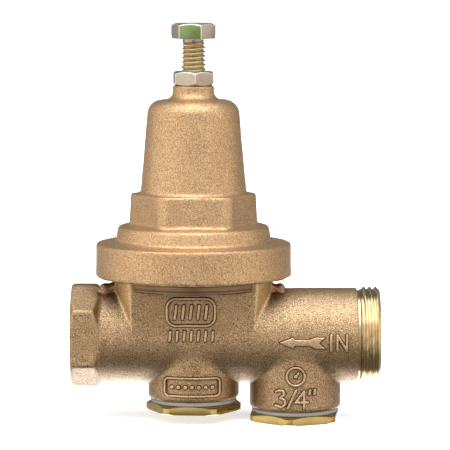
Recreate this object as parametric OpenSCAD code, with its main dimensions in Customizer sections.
// Bronze pressure reducing valve for a drinking water line, with a built-in strainer.
// Frame: origin at the centre of the outlet face, +X from outlet to inlet, +Z up the bell housing.

/* [Waterway] */
// Length from the outlet face to the inlet gasket face
length = 114.3; // [114:0.1:118]
// Distance across the flats of the outlet hexagon
outlet_hex_af = 35.8; // [35:0.1:37]
// Length of the outlet hexagon along the waterway
outlet_hex_len = 9.5; // [8:0.5:11]
// Minor radius of the outlet's internal pipe thread
outlet_bore_r = 12; // [11.5:0.1:12.4]
// Depth of the outlet's internal pipe thread
outlet_bore_len = 14; // [12:0.5:15]
// Outer radius of the casting around the waterway
pipe_r = 17.5; // [17.3:0.1:17.8]
// Radius over the crests of the inlet union thread
union_thread_r = 17.95; // [17.9:0.05:18.4]
// Length of the inlet union thread
union_thread_len = 8.2; // [7:0.1:9]
// Radius of the inlet waterway
inlet_bore_r = 11.5; // [11:0.1:12]
// Wall thickness around the waterway in the middle of the casting
cast_wall = 4.1; // [3.8:0.1:4.5]

/* [Regulating side] */
// Distance from the outlet face to the bonnet and seat axis
bonnet_x = 45.4; // [45:0.1:46]
// Radius of the casting's machined neck
neck_ring_r = 27.8; // [27:0.1:28]
// Height of the machined neck's visible top, where the bell housing ends
neck_top = 22.2; // [22:0.1:22.4]
// Radius of the casting's threaded flange inside the bell housing
flange_r = 33.05; // [32.8:0.05:33.2]
// Outer radius of the bottom bosses
boss_r = 16.9; // [16.5:0.1:17.2]
// Depth of the regulating side's boss below the waterway axis
plunger_boss_depth = 23.1; // [23:0.1:24]
// Radius of the seat orifice
orifice_r = 6.5; // [6:0.1:6.6]
// Valve travel from wide open to shut
lift = 2.5; // [1.5:0.1:2.5]

/* [Strainer side] */
// Distance from the outlet face to the strainer axis
strainer_x = 83.1; // [83:0.1:84]
// Depth of the strainer boss below the waterway axis
strainer_boss_depth = 26.8; // [26.6:0.1:27.5]
// Outer radius of the strainer screen
screen_r = 9.4; // [9.2:0.1:9.5]
// Wall thickness of the strainer screen
screen_wall = 0.6; // [0.4:0.1:0.7]

/* [Bell housing] */
// Outer radius of the skirt
skirt_r = 36.2; // [36:0.1:37]
// Height of the skirt
skirt_h = 12.1; // [11.9:0.1:12.5]
// Distance across the flats of the wrench hexagon
bell_hex_af = 42.3; // [42:0.1:43]
// Turn of the wrench hexagon from square
bell_hex_turn = 2; // [0:1:59]
// Outer radius at the foot of the cone
cone_foot_r = 19.5; // [19.3:0.1:19.8]
// Outer radius at the head of the cone
cone_head_r = 16.9; // [16.7:0.1:17.2]
// Height of the neck's top face, which the lock nut rests on
bell_top = 92.6; // [92.4:0.1:93]

/* [Adjusting screw] */
// Major diameter of the screw thread
screw_d = 9.4; // [9:0.1:9.5]
// Screw length under the head
screw_len = 31.75; // [31.5:0.25:32.5]
// Distance across the flats of the screw head and the lock nut
screw_hex_af = 14.29; // [14:0.01:14.5]
// Height of the screw head
screw_head_h = 5.8; // [5:0.1:6]
// Thickness of the lock nut
lock_nut_h = 5.3; // [5:0.1:5.6]
// Turn of the screw head from square
screw_turn = -9; // [-30:1:30]
// Turn of the lock nut from square
lock_nut_turn = -24; // [-30:1:30]

/* [Bottom plugs] */
// Distance across the flats of the plug hexagons
plug_hex_af = 31.75; // [31:0.05:32.5]
// Thickness of the plug hexagons
plug_hex_h = 3.3; // [3.2:0.1:4]
// Thickness of the sealing washers
washer_h = 1.4; // [1:0.1:1.6]
// Turn of the plunger plug from square
plunger_plug_turn = -5; // [-30:1:30]
// Turn of the strainer plug from square
strainer_plug_turn = 22; // [-30:1:30]

/* [Springs] */
// Wire diameter of the range spring
range_wire_d = 3.2; // [3:0.1:3.4]
// Mean radius of the range spring
range_coil_r = 10.3; // [10.2:0.1:10.6]
// Number of turns of the range spring
range_turns = 6; // [5:0.5:7]

/* [Hidden] */
$fn = 72;
over = 1;              // how far a cutter runs past the face it opens
slip = 0.05;           // radial clearance of a fitted pair
nudge = 0.02;          // gap that keeps two resting faces apart
corner_trim = 0.1;     // how much a small hexagon's corners are turned off

// materials
cast_bronze = [0.72, 0.56, 0.36];
bell_bronze = [0.78, 0.61, 0.40];
brass = [0.80, 0.66, 0.30];
yellow_zinc = [0.80, 0.72, 0.50];
spring_steel = [0.45, 0.46, 0.48];
stainless = [0.72, 0.73, 0.74];
black_rubber = [0.10, 0.10, 0.11];
grey_fibre = [0.55, 0.56, 0.55];
white_acetal = [0.90, 0.90, 0.86];

// valve body: heights along Z
union_x = length - union_thread_len;
hex_corner_r = 20.5;
hex_half_h = 18.95;
hex_chamfer = 0.9;
flange_bottom = 23;
flange_top = 30.5;
bowl_r = 25;
bowl_floor = 25;
upper_chamber_r = 13.5;
bridge_top = -2;
bridge_bottom = -5.5;
seat_hole_r = 9.55;
lower_chamber_r = 12;
lower_chamber_floor = -17;
plug_bore_r = 13.2;
boss_chamfer = 1.2;
neck_ring_bottom = 18;
bowl_foot = 19;
bowl_head_r = 23;
bowl_head = 23.5;
shoulder_inset = 0.1;        // how far the shoulder's flat sides stand inside the waterway's
shoulder_half_w = pipe_r - shoulder_inset;
shoulder_head_r = 29.4;
shoulder_foot_r = 28.1;
shoulder_foot = -1;
lug_reach = 33.5;
lug_w = 9;
lug_bottom = 13;
lug_top = 22;
outlet_hex_turn = -2.5;
outlet_thread_step = 0.8;
outlet_way_overlap = 3;
outlet_way_r = outlet_bore_r - outlet_thread_step;
outlet_way_end = bonnet_x - upper_chamber_r + outlet_way_overlap;

// transfer passage from the strainer chamber to the lower chamber
transfer_start_reach = 5;
transfer_end_reach = 8;
transfer_start = bonnet_x + transfer_start_reach;
transfer_end = strainer_x - transfer_end_reach;
transfer_z = -10.5;
transfer_r = 4.5;
transfer_spread = 5;

// strainer chamber and inlet
strainer_chamber_r = 12.6;
strainer_chamber_floor = -21;
partition_bottom = -1;
partition_top = 2;
partition_hole_r = 10.2;
inlet_passage_r = pipe_r - cast_wall;
bridge_wall = 8.9;
inlet_passage_start = bonnet_x + upper_chamber_r + bridge_wall;
inlet_bore_reach = 15.9;
inlet_bore_start = strainer_x + inlet_bore_reach;

// bypass check valve in the wall between the inlet passage and the upper chamber
bypass_z = 7.5;
bypass_pocket_depth = 2.5;
bypass_seat_x = inlet_passage_start - bypass_pocket_depth;
bypass_hole_r = 1.8;
bypass_way_r = 2;
bypass_cage_r = 4.2;
bypass_cage_len = 11.5;
bypass_bore_r = 3.2;
bypass_floor = 1.5;
bypass_ball_r = 2.8;
bypass_retainer_h = 1.2;
ball_x = bypass_seat_x + bypass_floor + sqrt(pow(bypass_ball_r, 2) - pow(bypass_hole_r, 2)) + nudge;

// bell housing: heights and radii
skirt_top = neck_top + skirt_h;
skirt_bore_r = flange_r + slip;
skirt_edge = 1;
deck_r = 28.8;
deck_z = 35.2;
step_top_r = 27.6;
step_top_z = 42.1;
hex_bottom = step_top_z - 1;
hex_top = 52.9;
hex_trim_r = 23.2;
cone_foot_z = 54;
cone_head_z = 83.2;
shoulder_r = 12.5;
shoulder_z = 87.5;
neck_foot_r = 9.8;
neck_r = 7.55;
neck_foot_z = 90;
plate_cavity_r = 23.5;
plate_cavity_z = 33.5;
plate_cavity_top = 37.5;
spring_cavity_foot_r = 15.5;
spring_cavity_foot_z = 41.5;
spring_cavity_head_r = 13.4;
spring_cavity_top = 84;
screw_r = screw_d / 2;
screw_bore_r = screw_r + slip;

// diaphragm stack, from the casting's flange up
diaphragm_h = 2.2;
diaphragm_drop = 2;
diaphragm_r = 32.5;
friction_ring_r = 24;
plate_r = 20.5;
plate_bottom = flange_top + diaphragm_h - diaphragm_drop;
plate_h = 3.5;
plate_top = plate_bottom + plate_h;
hub_r = 7.5;
hub_h = 2.8;
stem_nut_af = 11;
stem_nut_h = 4.5;
stem_r = 3;
stem_end = 2;
stem_top = plate_top + hub_h + stem_nut_h + stem_end;
washer_r = 15;
lower_washer_h = 2;

// seat and plunger
seat_lip_z = -7;
seat_lip_r = 7.7;
seat_flange_r = 11.8;
seat_flange_h = 1.5;
o_ring_d = 0.9;
o_ring_groove = 1;
disc_h = 2.5;
disc_r = 8.6;
shut_gap = 0.1;
disc_top = seat_lip_z - lift - shut_gap;
plunger_r = 9.8;
disc_proud = 0.8;
plunger_rim = disc_top - disc_proud;
plunger_gap = 0.2;
plunger_bottom = lower_chamber_floor + plunger_gap;
stem_collar_r = 4.8;
stem_collar_h = 1.6;
stem_bottom = -14;
guide_r = 3.5;
guide_bottom = -25;
guide_slip = 0.06;
guide_bore_r = guide_r + guide_slip;
guide_bore_floor = -26.2;

// bottom plugs
plug_trim_r = 17.65;
plug_shank_r = plug_bore_r - slip;
washer_outer_r = 16;
plunger_hex_top = -plunger_boss_depth - washer_h;
strainer_hex_top = -strainer_boss_depth - washer_h;
plug_shank_gap = 0.1;
strainer_pocket_r = 10.4;
strainer_pocket_floor = -25;
end_ring_bore_r = 8.2;
end_ring_h = 2.5;

// range spring and its upper button
button_r = 12.8;
button_top = 80;
button_h = 3.1;
button_slip = 0.1;
button_pocket_r = screw_r + button_slip;
button_pocket_h = 2.1;
button_hub_h = 4.9;
screw_tip = button_top - button_pocket_h + slip;
screw_head_z = screw_tip + screw_len;
spring_gap = 0.05;

// a circle's corner radius for a hexagon of a given size across its flats
function corner_r(af) = af / 2 / cos(30);

module hexagon_prism(af, h, trim_r, turn = 0) {
    intersection() {
        rotate([0, 0, turn])
            cylinder(r = corner_r(af), h = h, $fn = 6);
        cylinder(r = trim_r, h = h);
    }
}

module at_bonnet() {
    translate([bonnet_x, 0, 0]) children();
}

module at_strainer() {
    translate([strainer_x, 0, 0]) children();
}

// a round bar along +X
module bar_x(r, x0, x1, y = 0, z = 0) {
    translate([x0, y, z])
        rotate([0, 90, 0])
            cylinder(r = r, h = x1 - x0);
}

// a round bar along +Z
module bar_z(r, z0, z1) {
    translate([0, 0, z0]) cylinder(r = r, h = z1 - z0);
}

module ring_z(r_in, r_out, z0, z1) {
    difference() {
        bar_z(r_out, z0, z1);
        bar_z(r_in, z0 - over, z1 + over);
    }
}

// a round boss that hangs below the waterway, with a chamfered foot
module boss(depth) {
    bar_z(boss_r, boss_chamfer - depth, 0);
    translate([0, 0, -depth])
        cylinder(r1 = boss_r - boss_chamfer, r2 = boss_r, h = boss_chamfer);
}

// the flat-sided block between the waterway and the neck, rounded at its outlet and inlet ends
module shoulder() {
    depth = flange_bottom - shoulder_foot;
    intersection() {
        translate([0, 0, shoulder_foot])
            cylinder(r1 = shoulder_foot_r, r2 = shoulder_head_r, h = depth);
        translate([-shoulder_head_r - over, -shoulder_half_w, shoulder_foot - over])
            cube([2 * (shoulder_head_r + over), 2 * shoulder_half_w, depth + over]);
    }
    translate([-lug_reach, -lug_w / 2, lug_bottom])
        cube([2 * lug_reach, lug_w, lug_top - lug_bottom]);
}

// the outlet hexagon: a cone turns its mouth, and its top and bottom corners are cut flat
module outlet_hex() {
    intersection() {
        rotate([outlet_hex_turn, 0, 0])
            rotate([0, 90, 0])
                cylinder(r = corner_r(outlet_hex_af), h = outlet_hex_len, $fn = 6);
        translate([0, -hex_corner_r, -hex_half_h])
            cube([outlet_hex_len, 2 * hex_corner_r, 2 * hex_half_h]);
        rotate([0, 90, 0])
            rotate_extrude()
                polygon([
                    [0, 0],
                    [hex_corner_r - 2 * hex_chamfer, 0],
                    [hex_corner_r, hex_chamfer],
                    [hex_corner_r, outlet_hex_len],
                    [0, outlet_hex_len]
                ]);
    }
}

module casting_blank() {
    outlet_hex();
    bar_x(pipe_r, outlet_hex_len - over, union_x);
    bar_x(union_thread_r, union_x, length);
    at_bonnet() {
        bar_z(neck_ring_r, neck_ring_bottom, flange_bottom);
        bar_z(flange_r, flange_bottom, flange_top);
        shoulder();
        boss(plunger_boss_depth);
    }
    at_strainer() boss(strainer_boss_depth);
}

// the half-round passage over the partition, from the inlet bore to the strainer
module inlet_passage() {
    intersection() {
        bar_x(inlet_passage_r, inlet_passage_start, inlet_bore_start + over);
        translate([inlet_passage_start, -inlet_passage_r, partition_top])
            cube([inlet_bore_start + over - inlet_passage_start, 2 * inlet_passage_r, inlet_passage_r]);
    }
}

module waterways() {
    bar_x(outlet_bore_r, -over, outlet_bore_len);
    bar_x(outlet_way_r, outlet_bore_len - over, outlet_way_end);
    at_bonnet() {
        bar_z(bowl_r, bowl_floor, flange_top + over);
        bar_z(upper_chamber_r, bridge_top, bowl_foot + over);
        translate([0, 0, bowl_foot])
            cylinder(r1 = upper_chamber_r, r2 = bowl_head_r, h = bowl_head - bowl_foot);
        bar_z(bowl_head_r, bowl_head, bowl_floor + over);
        bar_z(seat_hole_r, bridge_bottom - over, bridge_top + over);
        bar_z(lower_chamber_r, lower_chamber_floor - over, bridge_bottom);
        bar_z(plug_bore_r, -plunger_boss_depth - over, lower_chamber_floor);
    }
    for (side = [-1, 0, 1])
        bar_x(transfer_r, transfer_start, transfer_end, side * transfer_spread, transfer_z);
    at_strainer() {
        bar_z(strainer_chamber_r, strainer_chamber_floor - over, partition_bottom);
        bar_z(plug_bore_r, -strainer_boss_depth - over, strainer_chamber_floor);
        bar_z(partition_hole_r, partition_bottom - over, partition_top + over);
    }
    inlet_passage();
    bar_x(inlet_bore_r, inlet_bore_start, length + over);
    bar_x(bypass_cage_r + slip, bypass_seat_x, inlet_passage_start + over, 0, bypass_z);
    bar_x(bypass_way_r, bonnet_x + upper_chamber_r - over, bypass_seat_x + over, 0, bypass_z);
}

module valve_body() {
    color(cast_bronze)
        difference() {
            casting_blank();
            waterways();
        }
}

module bell_blank() {
    rotate_extrude()
        polygon([
            [0, neck_top],
            [skirt_r - skirt_edge, neck_top],
            [skirt_r, neck_top + skirt_edge],
            [skirt_r, skirt_top - skirt_edge],
            [skirt_r - skirt_edge, skirt_top],
            [deck_r, deck_z],
            [step_top_r, step_top_z],
            [cone_foot_r, step_top_z],
            [cone_foot_r, cone_foot_z],
            [cone_head_r, cone_head_z],
            [shoulder_r, shoulder_z],
            [neck_foot_r, shoulder_z],
            [neck_r, neck_foot_z],
            [neck_r, bell_top],
            [0, bell_top]
        ]);
    translate([0, 0, hex_bottom])
        hexagon_prism(bell_hex_af, hex_top - hex_bottom, hex_trim_r, bell_hex_turn);
}

module bell_hollow() {
    rotate_extrude()
        polygon([
            [0, neck_top - over],
            [skirt_bore_r, neck_top - over],
            [skirt_bore_r, plate_cavity_z],
            [plate_cavity_r, plate_cavity_z],
            [plate_cavity_r, plate_cavity_top],
            [spring_cavity_foot_r, spring_cavity_foot_z],
            [spring_cavity_head_r, spring_cavity_top],
            [0, spring_cavity_top]
        ]);
    bar_z(screw_bore_r, spring_cavity_top - over, bell_top + over);
}

module bell_housing() {
    color(bell_bronze)
        at_bonnet()
            difference() {
                bell_blank();
                bell_hollow();
            }
}

// the torus of a round seal
module o_ring(r_mid, z) {
    translate([0, 0, z])
        rotate_extrude()
            translate([r_mid, 0])
                circle(d = o_ring_d, $fn = 24);
}

seat_o_ring_reach = 0.8;
seat_o_ring_r = seat_hole_r + seat_o_ring_reach;
seat_o_ring_z = bridge_top + o_ring_d / 2 + nudge;

module seat_ring() {
    color(stainless)
        at_bonnet()
            difference() {
                union() {
                    bar_z(seat_hole_r - slip, bridge_bottom, bridge_top + over);
                    bar_z(seat_flange_r, bridge_top, bridge_top + seat_flange_h);
                    bar_z(seat_lip_r, seat_lip_z, bridge_bottom + over);
                }
                bar_z(orifice_r, seat_lip_z - over, bridge_top + seat_flange_h + over);
                ring_z(
                    seat_o_ring_r - o_ring_groove / 2,
                    seat_o_ring_r + o_ring_groove / 2,
                    bridge_top - over,
                    bridge_top + o_ring_groove
                );
            }
}

module seat_o_ring() {
    color(black_rubber)
        at_bonnet()
            o_ring(seat_o_ring_r, seat_o_ring_z);
}

module friction_ring() {
    color(white_acetal)
        at_bonnet()
            ring_z(friction_ring_r, diaphragm_r, flange_top + diaphragm_h, plate_cavity_z);
}

module diaphragm() {
    color(black_rubber)
        at_bonnet()
            rotate_extrude()
                polygon([
                    [stem_r + slip, plate_bottom - diaphragm_h],
                    [plate_r, plate_bottom - diaphragm_h],
                    [bowl_r, flange_top],
                    [diaphragm_r, flange_top],
                    [diaphragm_r, flange_top + diaphragm_h],
                    [bowl_r, flange_top + diaphragm_h],
                    [plate_r, plate_bottom],
                    [stem_r + slip, plate_bottom]
                ]);
}

module diaphragm_plate() {
    color(brass)
        at_bonnet()
            difference() {
                union() {
                    bar_z(plate_r, plate_bottom, plate_top);
                    bar_z(hub_r, plate_top, plate_top + hub_h);
                }
                bar_z(stem_r + slip, plate_bottom - over, plate_top + hub_h + over);
            }
}

module diaphragm_washer() {
    color(brass)
        at_bonnet()
            ring_z(
                stem_r + slip,
                washer_r,
                plate_bottom - diaphragm_h - lower_washer_h,
                plate_bottom - diaphragm_h
            );
}

module stem() {
    color(stainless)
        at_bonnet() {
            bar_z(stem_r, stem_bottom, stem_top);
            bar_z(stem_collar_r, disc_top, disc_top + stem_collar_h);
        }
}

module stem_nut() {
    color(stainless)
        at_bonnet()
            difference() {
                translate([0, 0, plate_top + hub_h])
                    hexagon_prism(stem_nut_af, stem_nut_h, corner_r(stem_nut_af) - corner_trim);
                bar_z(stem_r + slip, plate_top, stem_top + over);
            }
}

plunger_o_ring_z = (guide_bottom + plunger_bottom) / 2;
plunger_o_ring_r = guide_r - o_ring_d / 2 + nudge;

module plunger() {
    color(brass)
        at_bonnet()
            difference() {
                union() {
                    bar_z(plunger_r, plunger_bottom, plunger_rim);
                    bar_z(guide_r, guide_bottom, plunger_bottom + over);
                }
                bar_z(disc_r + slip, disc_top - disc_h, plunger_rim + over);
                bar_z(stem_r + slip, stem_bottom - slip, plunger_rim + over);
                ring_z(
                    guide_r - o_ring_groove,
                    guide_r + over,
                    plunger_o_ring_z - o_ring_groove / 2,
                    plunger_o_ring_z + o_ring_groove / 2
                );
            }
}

module plunger_o_ring() {
    color(black_rubber)
        at_bonnet()
            o_ring(plunger_o_ring_r, plunger_o_ring_z);
}

module seat_disc() {
    color(black_rubber)
        at_bonnet()
            ring_z(stem_r + slip, disc_r, disc_top - disc_h, disc_top);
}

module plunger_plug() {
    color(brass)
        at_bonnet()
            difference() {
                union() {
                    bar_z(
                        plug_shank_r,
                        plunger_hex_top - over,
                        lower_chamber_floor - plug_shank_gap
                    );
                    translate([0, 0, plunger_hex_top - plug_hex_h])
                        hexagon_prism(plug_hex_af, plug_hex_h, plug_trim_r, plunger_plug_turn);
                }
                bar_z(guide_bore_r, guide_bore_floor, lower_chamber_floor + over);
            }
}

module plunger_plug_washer() {
    color(grey_fibre)
        at_bonnet()
            ring_z(plug_bore_r, washer_outer_r, plunger_hex_top, -plunger_boss_depth);
}

module strainer_plug() {
    color(brass)
        at_strainer()
            difference() {
                union() {
                    bar_z(
                        plug_shank_r,
                        strainer_hex_top - over,
                        strainer_chamber_floor - plug_shank_gap
                    );
                    translate([0, 0, strainer_hex_top - plug_hex_h])
                        hexagon_prism(plug_hex_af, plug_hex_h, plug_trim_r, strainer_plug_turn);
                }
                bar_z(strainer_pocket_r, strainer_pocket_floor, strainer_chamber_floor + over);
            }
}

module strainer_plug_washer() {
    color(grey_fibre)
        at_strainer()
            ring_z(plug_bore_r, washer_outer_r, strainer_hex_top, -strainer_boss_depth);
}

screen_step = 0.5;
screen_bottom = strainer_pocket_floor + screen_step;
screen_top = partition_top - 1;

module strainer_screen() {
    color(stainless)
        at_strainer()
            ring_z(screen_r - screen_wall, screen_r, screen_bottom, screen_top);
}

// the groove that holds one end of the screen
module screen_groove(z0, z1) {
    ring_z(screen_r - screen_wall - slip, screen_r + slip, z0, z1);
}

module strainer_end_rings() {
    color(white_acetal)
        at_strainer() {
            difference() {
                ring_z(end_ring_bore_r, partition_hole_r - slip, partition_bottom, partition_top);
                screen_groove(partition_bottom - over, screen_top + slip);
            }
            difference() {
                ring_z(
                    end_ring_bore_r,
                    strainer_pocket_r - 2 * slip,
                    strainer_pocket_floor,
                    strainer_pocket_floor + end_ring_h
                );
                screen_groove(screen_bottom - slip, strainer_pocket_floor + end_ring_h + over);
            }
        }
}

bypass_end = bypass_seat_x + bypass_cage_len;

module bypass_cage() {
    color(brass)
        difference() {
            bar_x(bypass_cage_r, bypass_seat_x, bypass_end, 0, bypass_z);
            bar_x(bypass_hole_r, bypass_seat_x - over, bypass_end, 0, bypass_z);
            bar_x(bypass_bore_r, bypass_seat_x + bypass_floor, bypass_end + over, 0, bypass_z);
        }
}

module bypass_retainer() {
    color(brass)
        difference() {
            bar_x(bypass_bore_r - slip, bypass_end - bypass_retainer_h, bypass_end, 0, bypass_z);
            bar_x(bypass_hole_r, bypass_seat_x, bypass_end + over, 0, bypass_z);
        }
}

module bypass_ball() {
    color(stainless)
        translate([ball_x, 0, bypass_z])
            sphere(r = bypass_ball_r);
}

// Points round a coil's wire at one turn angle: the wire's own circle stands in the plane of the axis
function coil_ring(angle, z, coil_r, wire_r, sides) = [
    for (i = [0 : sides - 1])
        let (a = 360 * i / sides, r = coil_r + wire_r * cos(a))
        [r * cos(angle), r * sin(angle), z + wire_r * sin(a)]
];

// Height of the wire after some turns: one closed turn at each end and an even pitch between them
function coil_height(turn, turns, closed_pitch, h) =
    turn < 1 ? turn * closed_pitch :
    turn > turns - 1 ? h - (turns - turn) * closed_pitch :
    closed_pitch + (turn - 1) * (h - 2 * closed_pitch) / (turns - 2);

closed_pitch_ratio = 1.08;   // pitch of a closed end turn, as a share of the wire

// A coil spring along +Z whose wire fills the height h
module coil_spring(coil_r, wire_d, turns, h, sides, rings_per_turn) {
    wire_r = wire_d / 2;
    rings = turns * rings_per_turn;
    points = [
        for (k = [0 : rings])
            each coil_ring(
                360 * k / rings_per_turn,
                wire_r + coil_height(k / rings_per_turn, turns, wire_d * closed_pitch_ratio, h - wire_d),
                coil_r,
                wire_r,
                sides
            )
    ];
    walls = [
        for (k = [0 : rings - 1])
            for (i = [0 : sides - 1])
                let (a = k * sides + i, b = k * sides + (i + 1) % sides)
                each [[a, a + sides, b], [b, a + sides, b + sides]]
    ];
    start_cap = [[for (i = [0 : sides - 1]) i]];
    end_cap = [[for (i = [0 : sides - 1]) rings * sides + sides - 1 - i]];
    polyhedron(points = points, faces = concat(walls, start_cap, end_cap));
}

module bypass_spring() {
    wire_d = 0.5;
    spring_r = 1.9;
    start_x = ball_x + sqrt(pow(bypass_ball_r, 2) - pow(spring_r, 2)) + wire_d / 2;
    end_x = bypass_end - bypass_retainer_h - spring_gap;
    color(spring_steel)
        translate([start_x, 0, bypass_z])
            rotate([0, 90, 0])
                coil_spring(spring_r, wire_d, 4, end_x - start_x, 6, 16);
}

module range_spring() {
    color(spring_steel)
        at_bonnet()
            translate([0, 0, plate_top + spring_gap])
                coil_spring(
                    range_coil_r,
                    range_wire_d,
                    range_turns,
                    button_top - button_h - plate_top - 2 * spring_gap,
                    12,
                    24
                );
}

module upper_spring_button() {
    color(yellow_zinc)
        at_bonnet()
            difference() {
                union() {
                    bar_z(button_r, button_top - button_h, button_top);
                    bar_z(hub_r, button_top - button_h - button_hub_h, button_top);
                }
                bar_z(button_pocket_r, button_top - button_pocket_h, button_top + over);
            }
}

module adjusting_screw() {
    color(yellow_zinc)
        at_bonnet() {
            bar_z(screw_r, screw_tip, screw_head_z + over);
            translate([0, 0, screw_head_z])
                hexagon_prism(screw_hex_af, screw_head_h, corner_r(screw_hex_af) - corner_trim, screw_turn);
        }
}

module lock_nut() {
    color(yellow_zinc)
        at_bonnet()
            difference() {
                translate([0, 0, bell_top + nudge])
                    hexagon_prism(
                        screw_hex_af,
                        lock_nut_h,
                        corner_r(screw_hex_af) - corner_trim,
                        lock_nut_turn
                    );
                bar_z(screw_bore_r, bell_top - over, bell_top + lock_nut_h + over);
            }
}

valve_body();
bell_housing();
seat_ring();
seat_o_ring();
friction_ring();
plunger_plug();
plunger_plug_washer();
strainer_plug();
strainer_plug_washer();
strainer_screen();
strainer_end_rings();
bypass_cage();
bypass_retainer();
bypass_ball();
bypass_spring();
upper_spring_button();
range_spring();
adjusting_screw();
lock_nut();
stem();
stem_nut();
diaphragm_plate();
diaphragm();
diaphragm_washer();
plunger();
seat_disc();
plunger_o_ring();
